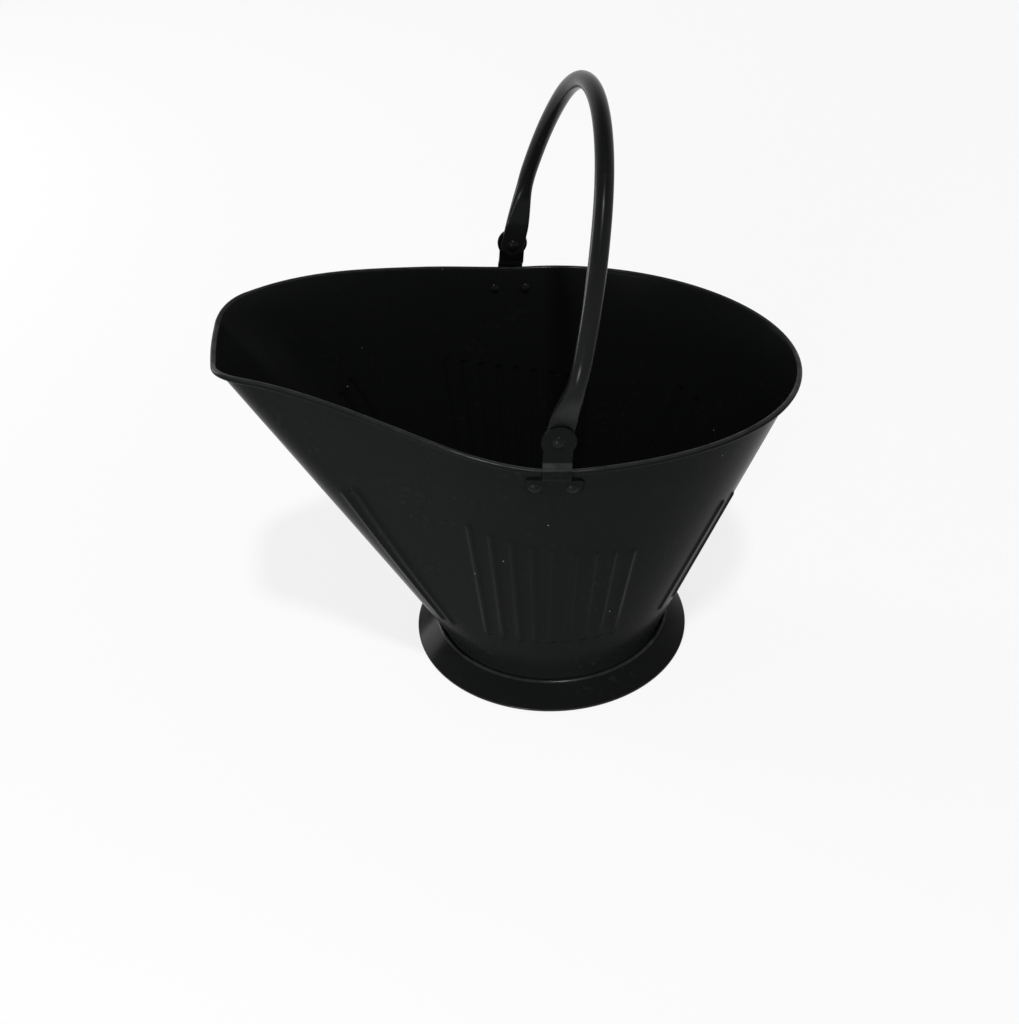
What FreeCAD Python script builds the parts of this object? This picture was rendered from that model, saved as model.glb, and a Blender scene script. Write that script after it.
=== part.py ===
import FreeCAD, Part
import math
import os
from FreeCAD import Vector

# Ash bucket of the coal-hod type: two pressed sheet halves, a floor pan, a flared foot ring,
# two riveted ears and a tubular bail. Millimetres. The origin is the centre of the foot on the
# floor, +Z is up and the spout points along -X. The left side is -Y.

# Sheet, rolled edge and fits
SHEET = 0.9              # body, floor and rolled edge
BEAD_R = 2.3             # outside radius of the rolled top edge
CURL_TURN = 305.0        # degrees that the sheet is rolled round its wire
FIT = 0.05               # gap between pieces that are rolled, seamed or riveted together

# Mouth, on the centre line of the rolled edge
REAR_REACH = 190.3       # origin to the rear of the mouth
SPOUT_REACH = 240.75     # origin to the middle of the pouring lip
MOUTH_HALF_WIDTH = 145.6
WIDEST_X = -2.7          # where the mouth is widest
SHOULDER_R = 205.0       # bend from the widest point into the flank
SHOULDER_TURN = 24.0     # degrees
FLANK_R = 1570.0         # nearly straight flank of the spout
CORNER_R = 40.0          # corner of the spout
LIP_R = 365.0            # front of the lip, seen from above

# Height of the rolled edge
SIDE_RIM_Z = 254.7
REAR_RIM_Z = 244.5
SPOUT_RIM_Z = 294.8      # at the corners of the spout
RISE_START_X = 6.0       # the rim climbs from here
RISE_END_X = -208.6      # to here
REAR_FALL_POWER = 1.6    # the rear falls away slowly at first
LIP_DIP = 6.4            # the lip dips between its corners
LIP_FLAT = 22.0          # half-width of the lowest part of the dip
LIP_FADE = 43.0          # width over which the dip fades out

# Foot of the wall
WALL_R = 92.5            # middle of the sheet at the foot of the wall
WALL_FOOT_Z = 21.0       # the sloping wall starts here
COLLAR_Z = 11.0          # bottom edge of the upright collar under it

# Pressed ribs
RIB_WIDTH = 6.5
RIB_HEIGHT = 1.5
RIB_SINK = 0.4           # how far what is pressed out of the sheet is let into it
RIB_FOOT_Z = 64.0
SIDE_RIBS = 9
SIDE_RIB_TOP_PITCH = 14.7
SIDE_RIB_FOOT_PITCH = 11.7
SIDE_RIB_DROP = 81.3     # rim to the top of the middle rib
SIDE_RIB_TILT = 0.17     # the line of tops falls towards the rear
CORNER_RIBS = 2          # beside the spout, and beside the rear
SPOUT_RIB_Y = 66.5       # distance of the first one's top from the middle plane
SPOUT_RIB_TOP_Z = 199.0
SPOUT_RIB_Y_STEP = 6.5
SPOUT_RIB_Z_STEP = 8.0
SPOUT_RIB_FOOT_IN = 4.0  # the foot lies this much nearer the middle plane
REAR_RIB_Y = 79.5
REAR_RIB_TOP_Z = 171.0
REAR_RIB_Y_STEP = -13.5
REAR_RIB_Z_STEP = -3.0
REAR_RIB_FOOT_IN = 5.0

# Folded edges of the two halves, at the front and rear middle plane
SEAM_WIDTH = 3.5
SEAM_RISE = 0.9          # stands this far off the wall
SEAM_FOOT_GAP = 4.0      # above the foot of the wall
SEAM_TOP_GAP = 7.0       # below the centre of the rolled edge

# Floor pan and foot ring
FLOOR_Z = 13.0           # top face of the floor
FLOOR_FLANGE = 6.5       # height of its upturned edge
FLOOR_BEND_R = 2.0
FOOT_R = 112.5
FOOT_SHEET = 1.0
FOOT_BEAD_R = 2.0        # rolled ring round the top of the foot
FOOT_BEAD_Z = 15.6
FOOT_EDGE = 3.0          # thickness of the rounded outer edge
FOOT_FOLD = 1.9          # the sheet is folded shut this far in from the edge
FOOT_HEM = 4.7           # and the folded hem reaches this far in

# Ears, measured along the ear from the centre of the rolled edge
EAR_X = -12.3            # middle of the ear on the rolled edge, and of the ribs under it
EAR_SHEET = 2.0
EAR_MARGIN = 6.6         # plate beyond the rivets' centres
EAR_PLATE_TOP = -6.3
EAR_PLATE_CORNER = 3.5
EAR_NECK_HALF = 10.0
EAR_HEAD_R = 12.0
EAR_BEAD_GAP = 0.3       # between the strap and the rolled edge
EAR_SWELL_END = -2.5     # the strap has cleared the rolled edge here
EAR_JOG_START = 3.9      # it turns inward here
EAR_JOG_END = 7.4
EAR_JOG_IN = 4.1         # and moves this far towards the inside
PIVOT_RISE = 24.6
RIVET_DROP = 14.6
RIVET_SPACING = 25.6
RIVET_R = 2.3
RIVET_HEAD_R = 4.5
RIVET_HEAD_H = 2.2
RIVET_TAIL_R = 4.0
RIVET_TAIL_H = 1.6

# Bail and its pivots
PIVOT_R = 3.0
PIVOT_HEAD_R = 4.65
PIVOT_HEAD_H = 2.4
PIVOT_RUN = 0.06         # running clearance in the bail's hole
BAIL_SIDE_GAP = 0.3      # between the bail's end and the ear, and under the rivet's tail
BAIL_TUBE_R = 6.35       # half-inch tube
BAIL_TUBE_WALL = 1.2
BAIL_RISE = 185.7        # pivot to the centre line of the crown
BAIL_LEAN = 14.2         # degrees towards the rear, as it stands
LEG_R = 215.0            # bend of the legs
CROWN_TURN = 46.0        # half-angle of the crown
LEG_TURN = 71.0          # angle from the crown's middle where the leg's bend stops
LEG_BULGE = 6.0          # the leg's end stands this far outside the flattened end
KNEE_R = 45.0
KNEE_TURN = 108.0
HEEL_R = 30.0
PADDLE_HALF = 9.3        # half-width of the flattened end
PADDLE_SHEET = 4.0
PADDLE_TAPER = 40.0      # length over which the tube is flattened
PADDLE_SQUARENESS = 3.0  # added to a round section's power of 2 where it is flat

# Fineness of the curved skins
REAR_STEPS = 14
SHOULDER_STEPS = 4
FLANK_STEPS = 6
CORNER_STEPS = 8
LIP_STEPS = 2
CURL_STEPS = 10
RIB_STEPS = 4
RIB_END_STEPS = 4        # along a rib's rounded end
RIB_END_REACH = 1.08     # the end runs on a little below the face of the wall
RIB_SIDE_STEPS = 3       # from a rib's crest down to its side
SEAM_STEPS = 4
EAR_STEPS = 8
WIRE_SIDES = 12
TUBE_SIDES = 24
ARC_STEP = 5.0           # degrees
PADDLE_ROWS = (0.66, 0.33, 0.0)                 # from the heel down to the pivot
PADDLE_END_ROWS = (0.3, 0.55, 0.75, 0.9, 0.98)  # from the pivot to the rounded end


def smooth(t):
    t = min(max(t, 0.0), 1.0)
    return t * t * (3.0 - 2.0 * t)


def outward(phi):
    return Vector(math.cos(phi), math.sin(phi), 0.0)


def angle_of(vector):
    return math.atan2(vector.y, vector.x)


def spout_crossing(centre_a, radius_a, centre_b, radius_b):
    """The crossing of two circles that lies nearer the spout."""
    between = centre_b - centre_a
    distance = between.Length
    reach = (radius_a**2 - radius_b**2 + distance**2) / (2.0 * distance)
    half = math.sqrt(radius_a**2 - reach**2)
    middle = centre_a + between * (reach / distance)
    side = Vector(-between.y, between.x, 0.0) * (half / distance)
    return min(middle + side, middle - side, key=lambda point: point.x)


# The mouth's outline is a chain of tangent curves, followed by the angle of its outward normal
REAR_LENGTH = REAR_REACH - WIDEST_X
SIDE = math.pi / 2
SHOULDER_END = SIDE + math.radians(SHOULDER_TURN)
SHOULDER_C = Vector(WIDEST_X, MOUTH_HALF_WIDTH - SHOULDER_R, 0.0)
FLANK_C = SHOULDER_C + outward(SHOULDER_END) * (SHOULDER_R - FLANK_R)
LIP_C = Vector(LIP_R - SPOUT_REACH, 0.0, 0.0)
CORNER_C = spout_crossing(FLANK_C, FLANK_R - CORNER_R, LIP_C, LIP_R - CORNER_R)
FLANK_END = angle_of(CORNER_C - FLANK_C)
CORNER_END = angle_of(CORNER_C - LIP_C)


def rim_height(x, y):
    if x > RISE_START_X:
        share = (x - RISE_START_X) / (REAR_REACH - RISE_START_X)
        return SIDE_RIM_Z - (SIDE_RIM_Z - REAR_RIM_Z) * share**REAR_FALL_POWER
    share = smooth((RISE_START_X - x) / (RISE_START_X - RISE_END_X))
    height = SIDE_RIM_Z + (SPOUT_RIM_Z - SIDE_RIM_Z) * share
    if x < WIDEST_X:
        height -= LIP_DIP * (1.0 - smooth((abs(y) - LIP_FLAT) / LIP_FADE))
    return height


def mouth_point(phi):
    """Centre of the rolled edge where the mouth's outward normal has the angle phi."""
    if phi <= SIDE:
        scale = math.hypot(REAR_LENGTH * math.cos(phi), MOUTH_HALF_WIDTH * math.sin(phi))
        x = WIDEST_X + REAR_LENGTH**2 * math.cos(phi) / scale
        y = MOUTH_HALF_WIDTH**2 * math.sin(phi) / scale
        plan = Vector(x, y, 0.0)
    elif phi <= SHOULDER_END:
        plan = SHOULDER_C + outward(phi) * SHOULDER_R
    elif phi <= FLANK_END:
        plan = FLANK_C + outward(phi) * FLANK_R
    elif phi <= CORNER_END:
        plan = CORNER_C + outward(phi) * CORNER_R
    else:
        plan = LIP_C + outward(phi) * LIP_R
    return Vector(plan.x, plan.y, rim_height(plan.x, plan.y))


def ruling(phi):
    """Foot and top of the wall's middle surface, its outward normal and its uphill direction."""
    radial = outward(phi)
    foot = radial * WALL_R + Vector(0, 0, WALL_FOOT_Z)
    edge = mouth_point(phi)
    uphill = radial * (edge - foot).dot(radial) + Vector(0, 0, edge.z - foot.z)
    uphill.normalize()
    normal = radial * uphill.z - Vector(0, 0, uphill.dot(radial))
    top = edge - normal * (BEAD_R - SHEET / 2)
    return foot, top, normal, uphill


def wall_point(phi, z, offset=0.0):
    """Point of the wall at a height, moved off its middle surface by an offset."""
    foot, top, normal, _ = ruling(phi)
    return foot + (top - foot) * ((z - foot.z) / (top.z - foot.z)) + normal * offset


def solve_angle(low, high, value):
    """The angle between low and high where value, which changes sign once, is zero."""
    rising = value(high) > 0
    for _ in range(50):
        middle = (low + high) / 2
        if (value(middle) > 0) == rising:
            high = middle
        else:
            low = middle
    return (low + high) / 2


def phi_at_x(x, z):
    return solve_angle(0.0, math.pi, lambda phi: wall_point(phi, z).x - x)


def phi_at_rear_y(y, z):
    return solve_angle(0.0, SIDE, lambda phi: wall_point(phi, z).y - y)


def phi_at_spout_y(y, z):
    return solve_angle(SHOULDER_END, math.pi, lambda phi: wall_point(phi, z).y - y)


def spline(points, parameters):
    curve = Part.BSplineCurve()
    curve.interpolate(Points=points, Parameters=parameters)
    return curve.toShape()


def run_lengths(rails):
    """Shared spline parameters: the mean distance run along the rails."""
    total = [0.0]
    for index in range(1, len(rails[0])):
        steps = [(rail[index] - rail[index - 1]).Length for rail in rails]
        total.append(total[-1] + sum(steps) / len(steps))
    return total


def strips(sections):
    """Ruled strips between the smooth rails through like sections."""
    rails = list(zip(*sections))
    parameters = run_lengths(rails)
    edges = [spline(list(rail), parameters) for rail in rails]
    faces = []
    for index in range(len(edges)):
        strip = Part.makeRuledSurface(edges[index - 1], edges[index]).Surface
        strip.exchangeUV()
        faces.append(strip.toShape())
    return faces


def skin(sections, breaks=()):
    """A closed solid through like sections with flat ends. The rails start afresh at the breaks."""
    marks = [0, *breaks, len(sections) - 1]
    faces = []
    for start, end in zip(marks, marks[1:]):
        faces += strips(sections[start:end + 1])
    for section in (sections[0], sections[-1]):
        faces.append(Part.Face(Part.makePolygon(list(section) + [section[0]])))
    shell = Part.Shell(faces)
    shell.sewShape()
    solid = Part.Solid(shell)
    if solid.Volume < 0:
        solid.reverse()
    return solid


def mirrored(shape):
    return shape.mirror(Vector(0, 0, 0), Vector(0, 1, 0))


def set_along(shape, start, direction):
    """A shape made on the Z axis, moved to a start point and turned along a direction."""
    shape = shape.copy()
    shape.Placement = FreeCAD.Placement(start, FreeCAD.Rotation(Vector(0, 0, 1), direction))
    return shape


# Body halves and rim wires

def half_turn_angles():
    """Normal angles from the rear middle plane to the front one."""
    ends = (SIDE, SHOULDER_END, FLANK_END, CORNER_END, math.pi)
    counts = (REAR_STEPS, SHOULDER_STEPS, FLANK_STEPS, CORNER_STEPS, LIP_STEPS)
    angles = [0.0]
    for end, count in zip(ends, counts):
        start = angles[-1]
        angles += [start + (end - start) * (step + 1) / count for step in range(count)]
    return angles


FLANK_FROM = REAR_STEPS + SHOULDER_STEPS
CORNER_FROM = FLANK_FROM + FLANK_STEPS
MOUTH_BREAKS = (FLANK_FROM, CORNER_FROM, CORNER_FROM + CORNER_STEPS)


def panel_section(phi):
    """Outline of the sheet in the plane of one ruling: collar, wall and rolled edge."""
    _, _, normal, uphill = ruling(phi)
    centre = mouth_point(phi)
    half = SHEET / 2

    def collar(offset, z):
        return outward(phi) * (WALL_R + offset) + Vector(0, 0, z)

    def curl(radius, step):
        angle = math.pi - math.radians(CURL_TURN) * step / CURL_STEPS
        return centre + normal * (radius * math.cos(angle)) + uphill * (radius * math.sin(angle))

    outside = [collar(half, COLLAR_Z), collar(half, WALL_FOOT_Z)]
    inner_curl = [curl(BEAD_R - SHEET, step) for step in range(CURL_STEPS + 1)]
    outer_curl = [curl(BEAD_R, step) for step in range(CURL_STEPS, -1, -1)]
    inside = [collar(-half, WALL_FOOT_Z), collar(-half, COLLAR_Z)]
    return outside + inner_curl + outer_curl + inside


def rib_path(finder, foot, top):
    """Angle and height along a rib, from (across, z) at its foot to (across, z) at its top."""
    path = []
    for step in range(RIB_STEPS + 1):
        share = step / RIB_STEPS
        across = foot[0] + (top[0] - foot[0]) * share
        z = foot[1] + (top[1] - foot[1]) * share
        path.append((finder(across, z), z))
    return path


def rib_paths():
    """Routes of one half's ribs: the group under the ear and the pairs at the spout and rear."""
    paths = []
    for number in range(SIDE_RIBS):
        place = number - (SIDE_RIBS - 1) / 2
        foot_x = EAR_X + place * SIDE_RIB_FOOT_PITCH
        top_x = EAR_X + place * SIDE_RIB_TOP_PITCH
        drop = SIDE_RIB_DROP + SIDE_RIB_TILT * (top_x - EAR_X)
        top_z = rim_height(top_x, MOUTH_HALF_WIDTH) - drop
        paths.append(rib_path(phi_at_x, (foot_x, RIB_FOOT_Z), (top_x, top_z)))
    for number in range(CORNER_RIBS):
        y = SPOUT_RIB_Y + number * SPOUT_RIB_Y_STEP
        z = SPOUT_RIB_TOP_Z + number * SPOUT_RIB_Z_STEP
        paths.append(rib_path(phi_at_spout_y, (y - SPOUT_RIB_FOOT_IN, RIB_FOOT_Z), (y, z)))
        y = REAR_RIB_Y + number * REAR_RIB_Y_STEP
        z = REAR_RIB_TOP_Z + number * REAR_RIB_Z_STEP
        paths.append(rib_path(phi_at_rear_y, (y - REAR_RIB_FOOT_IN, RIB_FOOT_Z), (y, z)))
    return paths


def rib_solid(path, width, base):
    """A raised bead with rounded ends along a path, standing on an offset of the wall."""
    points = [wall_point(phi, z, base) for phi, z in path]
    end_share = 0.5 * width / (points[-1] - points[0]).Length
    ends = []
    for step in range(RIB_END_STEPS + 1):
        bend = RIB_END_REACH * (1.0 - step / RIB_END_STEPS)
        ends.append((end_share * (1.0 - bend), bend))
    middle = [(step / RIB_STEPS, 0.0) for step in range(1, RIB_STEPS)]
    stations = ends + middle + [(1.0 - share, bend) for share, bend in reversed(ends)]
    sections = []
    for share, bend in stations:
        index = min(max(int(share * RIB_STEPS), 0), RIB_STEPS - 1)
        blend = share * RIB_STEPS - index
        (phi_a, z_a), (phi_b, z_b) = path[index], path[index + 1]
        phi = phi_a + (phi_b - phi_a) * blend
        z = z_a + (z_b - z_a) * blend
        normal = ruling(phi)[2]
        origin = wall_point(phi, z, base)
        side = normal.cross(points[index + 1] - points[index])
        side.normalize()
        half = 0.5 * width * math.sqrt(1.0 - bend**2 + RIB_SINK / RIB_HEIGHT)
        section = []
        for step in range(-RIB_SIDE_STEPS, RIB_SIDE_STEPS + 1):
            across = half * step / RIB_SIDE_STEPS
            rise = RIB_HEIGHT * (1.0 - (2.0 * across / width) ** 2 - bend**2)
            section.append(origin + side * across + normal * rise)
        sections.append(section)
    return skin(sections)


def seam_strip(phi_end, finder):
    """Folded edge of the sheet beside the middle plane, on the outside of the wall."""
    out = math.cos(phi_end)
    low = WALL_FOOT_Z + SEAM_FOOT_GAP
    high = mouth_point(phi_end).z - SEAM_TOP_GAP
    sections = []
    for step in range(SEAM_STEPS + 1):
        z = low + (high - low) * step / SEAM_STEPS
        seam_x = wall_point(phi_end, z, SHEET / 2).x
        side_x = wall_point(finder(SEAM_WIDTH, z), z, SHEET / 2).x
        sections.append([
            Vector(seam_x - out * RIB_SINK, 0, z),
            Vector(side_x - out * RIB_SINK, SEAM_WIDTH, z),
            Vector(side_x + out * SEAM_RISE, SEAM_WIDTH, z),
            Vector(seam_x + out * SEAM_RISE, 0, z),
        ])
    return skin(sections)


def body_half():
    """Right half of the body."""
    base = skin([panel_section(phi) for phi in half_turn_angles()], MOUTH_BREAKS)
    paths = rib_paths()
    ribs = [rib_solid(path, RIB_WIDTH, SHEET / 2) for path in paths]
    grooves = [rib_solid(path, RIB_WIDTH - SHEET, -SHEET / 2) for path in paths]
    seams = [seam_strip(0.0, phi_at_rear_y), seam_strip(math.pi, phi_at_spout_y)]
    holes = [rivet_hole(phi, z) for phi, z in rivet_seats()]
    return base.fuse(ribs + seams).cut(Part.makeCompound(grooves + holes))


def rim_wire():
    """Wire inside the right half's rolled edge."""
    radius = BEAD_R - SHEET - FIT
    sections = []
    for phi in half_turn_angles():
        _, _, normal, uphill = ruling(phi)
        section = []
        for side in range(WIRE_SIDES):
            angle = 2 * math.pi * side / WIRE_SIDES
            ring = normal * (radius * math.cos(angle)) + uphill * (radius * math.sin(angle))
            section.append(mouth_point(phi) + ring)
        sections.append(section)
    return skin(sections, MOUTH_BREAKS)


# Floor pan and foot ring

def turned(edges):
    """A solid turned about Z from a closed outline in the XZ plane."""
    return Part.Face(Part.Wire(edges)).revolve(Vector(0, 0, 0), Vector(0, 0, 1), 360)


def line(start, end):
    return Part.LineSegment(Vector(start[0], 0, start[1]), Vector(end[0], 0, end[1])).toShape()


def arc(centre, radius, start, end):
    """Arc in the XZ plane, with angles in degrees from +X towards +Z."""
    points = []
    for angle in (start, (start + end) / 2, end):
        turn = math.radians(angle)
        points.append(Vector(centre[0] + radius * math.cos(turn), 0, centre[1] + radius * math.sin(turn)))
    return Part.Arc(*points).toShape()


def floor_pan():
    """Round bottom sheet with its edge turned up inside the collar."""
    rim = WALL_R - SHEET / 2 - FIT
    under = FLOOR_Z - SHEET
    top = FLOOR_Z + FLOOR_FLANGE
    bend = (rim - SHEET - FLOOR_BEND_R, FLOOR_Z + FLOOR_BEND_R)
    return turned([
        line((0, under), (bend[0], under)),
        arc(bend, FLOOR_BEND_R + SHEET, -90, 0),
        line((rim, bend[1]), (rim, top)),
        line((rim, top), (rim - SHEET, top)),
        line((rim - SHEET, top), (rim - SHEET, bend[1])),
        arc(bend, FLOOR_BEND_R, 0, -90),
        line((bend[0], FLOOR_Z), (0, FLOOR_Z)),
        line((0, FLOOR_Z), (0, under)),
    ])


def foot_ring():
    """Flared skirt: a rolled ring round the collar, a straight flare and an edge folded under."""
    bore = WALL_R + SHEET / 2 + FIT
    bead = (bore + FOOT_BEAD_R, FOOT_BEAD_Z)
    bead_foot = FOOT_BEAD_Z - FOOT_BEAD_R
    edge_r = FOOT_EDGE / 2
    edge = (FOOT_R - edge_r, edge_r)
    run = math.hypot(edge[0] - bead[0], edge[1] - bead[1])
    fall = math.atan2(edge[1] - bead[1], edge[0] - bead[0])
    face = fall + math.acos((FOOT_BEAD_R - edge_r) / run)
    inside = FOOT_BEAD_R - FOOT_SHEET
    under = face - math.acos(inside / FOOT_BEAD_R)
    fold_r = FOOT_R - FOOT_FOLD
    fold_z = FOOT_BEAD_Z + (inside - math.cos(face) * (fold_r - bead[0])) / math.sin(face)
    hem_r = FOOT_R - FOOT_HEM

    def spot(centre, radius, turn):
        return centre[0] + radius * math.cos(turn), centre[1] + radius * math.sin(turn)

    return turned([
        arc(bead, FOOT_BEAD_R, 180, math.degrees(face)),
        line(spot(bead, FOOT_BEAD_R, face), spot(edge, edge_r, face)),
        arc(edge, edge_r, math.degrees(face), -90),
        line((edge[0], 0), (hem_r, 0)),
        line((hem_r, 0), (hem_r, FOOT_SHEET)),
        line((hem_r, FOOT_SHEET), (fold_r, FOOT_SHEET)),
        line((fold_r, FOOT_SHEET), (fold_r, fold_z)),
        line((fold_r, fold_z), spot(bead, FOOT_BEAD_R, under)),
        arc(bead, FOOT_BEAD_R, math.degrees(under), -90),
        line((bead[0], bead_foot), (bore, bead_foot)),
        line((bore, bead_foot), (bore, FOOT_BEAD_Z)),
    ])


# Ears and rivets

def ear_base():
    """Centre of the rolled edge under the middle of the right ear."""
    phi = solve_angle(0.0, math.pi, lambda angle: mouth_point(angle).x - EAR_X)
    return mouth_point(phi)


def ear_tilt():
    """The ear stands square to the rim's slope. Radians about +Y."""
    step = 0.5
    fall = rim_height(EAR_X - step, MOUTH_HALF_WIDTH) - rim_height(EAR_X + step, MOUTH_HALF_WIDTH)
    return math.atan(fall / (2 * step))


EAR_BASE = ear_base()
EAR_TILT = ear_tilt()
EAR_PLACEMENT = FreeCAD.Placement(
    Vector(EAR_BASE.x, 0, EAR_BASE.z), FreeCAD.Rotation(Vector(0, 1, 0), math.degrees(EAR_TILT))
)
STRAP_Y = EAR_BASE.y + BEAD_R + EAR_BEAD_GAP     # inner face where it passes the rolled edge
UPRIGHT_Y = STRAP_Y - EAR_JOG_IN                 # inner face of the upright
PADDLE_Y = UPRIGHT_Y - BAIL_SIDE_GAP - PADDLE_SHEET / 2
PIVOT = EAR_PLACEMENT.multVec(Vector(0, 0, PIVOT_RISE))


def rivet_seats():
    """Wall angle and height of the two rivets of the right ear."""
    seats = []
    for end in (-0.5, 0.5):
        spot = EAR_PLACEMENT.multVec(Vector(end * RIVET_SPACING, 0, -RIVET_DROP))
        seats.append((phi_at_x(spot.x, spot.z), spot.z))
    return seats


def rivet_hole(phi, z):
    depth = 2 * (SHEET + EAR_SHEET)
    drill = Part.makeCylinder(RIVET_R + FIT, 2 * depth, Vector(0, 0, -depth))
    return set_along(drill, wall_point(phi, z), ruling(phi)[2])


def dome(radius, height):
    """Rivet head on the XY plane."""
    ball = (radius**2 + height**2) / (2 * height)
    edge = math.degrees(math.asin((ball - height) / ball))
    return turned([
        line((0, 0), (radius, 0)),
        arc((0, height - ball), ball, edge, 90),
        line((0, height), (0, 0)),
    ])


def offset_run(points, distance):
    """A run of (y, z) points moved sideways, with mitred corners."""
    normals = []
    for (y_a, z_a), (y_b, z_b) in zip(points, points[1:]):
        length = math.hypot(y_b - y_a, z_b - z_a)
        normals.append(((z_b - z_a) / length, (y_a - y_b) / length))
    normals = [normals[0]] + normals + [normals[-1]]
    moved = []
    for (y, z), (a_y, a_z), (b_y, b_z) in zip(points, normals, normals[1:]):
        stretch = distance / (1.0 + a_y * b_y + a_z * b_z)
        moved.append((y + (a_y + b_y) * stretch, z + (a_z + b_z) * stretch))
    return moved


def ear_outline():
    """Upright prism with the ear's front outline: plate, neck and round head."""
    depth = 2 * MOUTH_HALF_WIDTH
    plate_half = RIVET_SPACING / 2 + EAR_MARGIN
    plate_bottom = -RIVET_DROP - EAR_MARGIN
    plate_height = EAR_PLATE_TOP - plate_bottom
    plate = Part.makeBox(2 * plate_half, depth, plate_height, Vector(-plate_half, 0, plate_bottom))
    corners = [edge for edge in plate.Edges if abs(edge.tangentAt(edge.FirstParameter).y) > 0.5]
    plate = plate.makeFillet(EAR_PLATE_CORNER, corners)
    neck_height = PIVOT_RISE - plate_bottom - EAR_PLATE_CORNER
    neck_corner = Vector(-EAR_NECK_HALF, 0, PIVOT_RISE - neck_height)
    neck = Part.makeBox(2 * EAR_NECK_HALF, depth, neck_height, neck_corner)
    head = Part.makeCylinder(EAR_HEAD_R, depth, Vector(0, 0, PIVOT_RISE), Vector(0, 1, 0))
    return plate.fuse([neck, head])


def ear():
    """Right ear: plate bent to the wall, strap over the rolled edge, upright with a round head."""
    spare = EAR_SHEET
    reach = RIVET_SPACING / 2 + EAR_MARGIN + spare
    low = -RIVET_DROP - EAR_MARGIN - spare

    def wall_y(across, up):
        spot = EAR_PLACEMENT.multVec(Vector(across, 0, up))
        return wall_point(phi_at_x(spot.x, spot.z), spot.z, SHEET / 2 + FIT).y

    sections = []
    for step in range(EAR_STEPS + 1):
        across = reach * (2 * step / EAR_STEPS - 1)
        inner = [
            (wall_y(across, low), low),
            (wall_y(across, EAR_PLATE_TOP), EAR_PLATE_TOP),
            (STRAP_Y, EAR_SWELL_END),
            (STRAP_Y, EAR_JOG_START),
            (UPRIGHT_Y, EAR_JOG_END),
            (UPRIGHT_Y, PIVOT_RISE + EAR_HEAD_R + spare),
        ]
        outer = offset_run(inner, EAR_SHEET)
        sections.append([Vector(across, y, z) for y, z in inner + outer[::-1]])
    strap = skin(sections).common(ear_outline())
    hole = Part.makeCylinder(PIVOT_R + FIT, 2 * MOUTH_HALF_WIDTH, Vector(0, 0, PIVOT_RISE), Vector(0, 1, 0))
    strap = strap.cut(hole)
    strap.Placement = EAR_PLACEMENT
    return strap.cut(Part.makeCompound([rivet_hole(phi, z) for phi, z in rivet_seats()]))


def rivet(radius, head, tail, head_seat, tail_seat):
    """Rivet on the Z axis, with its head above head_seat and its tail below tail_seat."""
    shank = Part.makeCylinder(radius, head_seat - tail_seat, Vector(0, 0, tail_seat))
    top = set_along(dome(*head), Vector(0, 0, head_seat), Vector(0, 0, 1))
    bottom = set_along(dome(*tail), Vector(0, 0, tail_seat), Vector(0, 0, -1))
    return shank.fuse([top, bottom]).removeSplitter()


def ear_rivets():
    """The two rivets of the right ear, through its plate and the wall."""
    head_seat = SHEET / 2 + FIT + EAR_SHEET + FIT
    tail_seat = -SHEET / 2 - 2 * FIT
    head = (RIVET_HEAD_R, RIVET_HEAD_H)
    tail = (RIVET_TAIL_R, RIVET_TAIL_H)
    shape = rivet(RIVET_R, head, tail, head_seat, tail_seat)
    seats = [(wall_point(phi, z), ruling(phi)[2]) for phi, z in rivet_seats()]
    return Part.makeCompound([set_along(shape, point, normal) for point, normal in seats])


def pivot_rivet():
    """Right pivot: through the ear and the bail's flattened end, with its tail inside."""
    size = (PIVOT_HEAD_R, PIVOT_HEAD_H)
    head_seat = UPRIGHT_Y + EAR_SHEET + FIT
    tail_seat = PADDLE_Y - PADDLE_SHEET / 2 - BAIL_SIDE_GAP
    return set_along(rivet(PIVOT_R, size, size, head_seat, tail_seat), PIVOT, Vector(0, 1, 0))


# Bail

def bail_route():
    """Centre line of the right half of the bail from its crown to the end: (y, z, angle) rows."""
    crown_end = math.radians(CROWN_TURN)
    leg_end = math.radians(LEG_TURN)
    knee_end = math.radians(KNEE_TURN)
    upright = math.pi / 2
    leg_y = PADDLE_Y + LEG_BULGE
    crown_r = (leg_y - LEG_R * (math.sin(leg_end) - math.sin(crown_end))) / math.sin(crown_end)
    rows = [(0.0, BAIL_RISE, 0.0)]

    def bend(radius, end):
        y, z, start = rows[-1]
        count = max(2, math.ceil(math.degrees(abs(end - start)) / ARC_STEP))
        for step in range(1, count + 1):
            angle = start + (end - start) * step / count
            across = radius * (math.sin(angle) - math.sin(start))
            down = radius * (math.cos(angle) - math.cos(start))
            rows.append((y + across, z + down, angle))

    bend(crown_r, crown_end)
    bend(LEG_R, leg_end)
    bend(KNEE_R, knee_end)
    y, z, angle = rows[-1]
    heel_in = HEEL_R * (1.0 - math.sin(knee_end))
    straight = (y - PADDLE_Y - heel_in) / -math.cos(knee_end)
    rows.append((y + straight * math.cos(angle), z - straight * math.sin(angle), angle))
    bend(-HEEL_R, upright)
    flat_z = rows[-1][1]
    for share in PADDLE_ROWS:
        rows.append((PADDLE_Y, flat_z * share, upright))
    for share in PADDLE_END_ROWS:
        rows.append((PADDLE_Y, -PADDLE_HALF * share, upright))
    return rows, flat_z


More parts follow.
